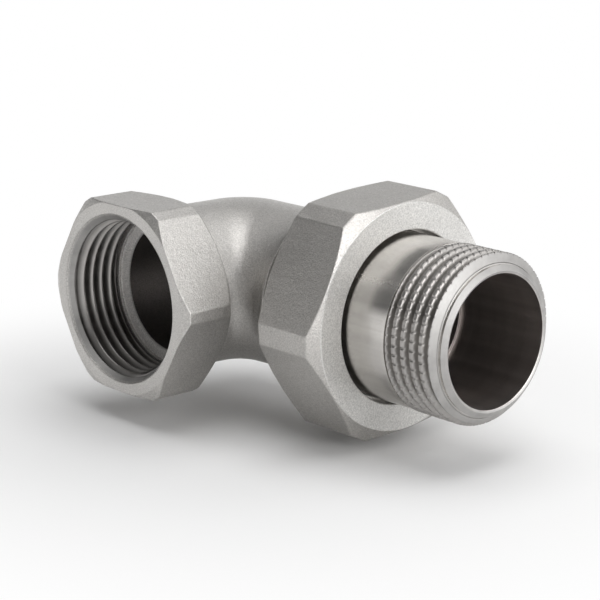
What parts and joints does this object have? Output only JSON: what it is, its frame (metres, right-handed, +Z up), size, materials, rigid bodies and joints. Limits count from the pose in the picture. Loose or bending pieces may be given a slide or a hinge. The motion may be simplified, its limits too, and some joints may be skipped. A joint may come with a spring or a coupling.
{
  "type": "union elbow",
  "caption": "Right-angle pipe fitting with a tapped hexagon port on one leg and a union nut holding a swivelling male-threaded tailpiece on the other.",
  "frame": {"origin": "centre of the tapped port's mouth", "axes": "-Y points out of the tapped port, +X points out of the male port, +Z is up as in the picture"},
  "size_m": [0.0918, 0.0587, 0.047],
  "materials": {
    "cast_stainless": "blasted casting",
    "nut_stainless": "blasted casting with turned faces",
    "turned_stainless": "turned",
    "seal_plastic": "smooth"
  },
  "bodies": {
    "elbow": {"elbow_body": "cast_stainless"},
    "seal": {"seal_ring": "seal_plastic"},
    "nut": {"union_nut": "nut_stainless"},
    "tail": {"tailpiece": "turned_stainless"}
  },
  "joints": [
    {"name": "union_travel", "type": "slide", "parent": "elbow", "child": "seal", "axis": [1, 0, 0], "range_m": [0, 0.0067]},
    {"name": "nut_turn", "type": "hinge", "parent": "seal", "child": "nut", "pos_m": [0.039, 0.03355, 0], "axis": [1, 0, 0], "range_deg": [0, 1044]},
    {"name": "tail_swivel", "type": "hinge", "parent": "seal", "child": "tail", "pos_m": [0.055, 0.03355, 0], "axis": [1, 0, 0], "continuous": true}
  ],
  "couplings": [
    {"joint": "union_travel", "follows": "nut_turn", "m_per_rad": 0.00036749}
  ]
}
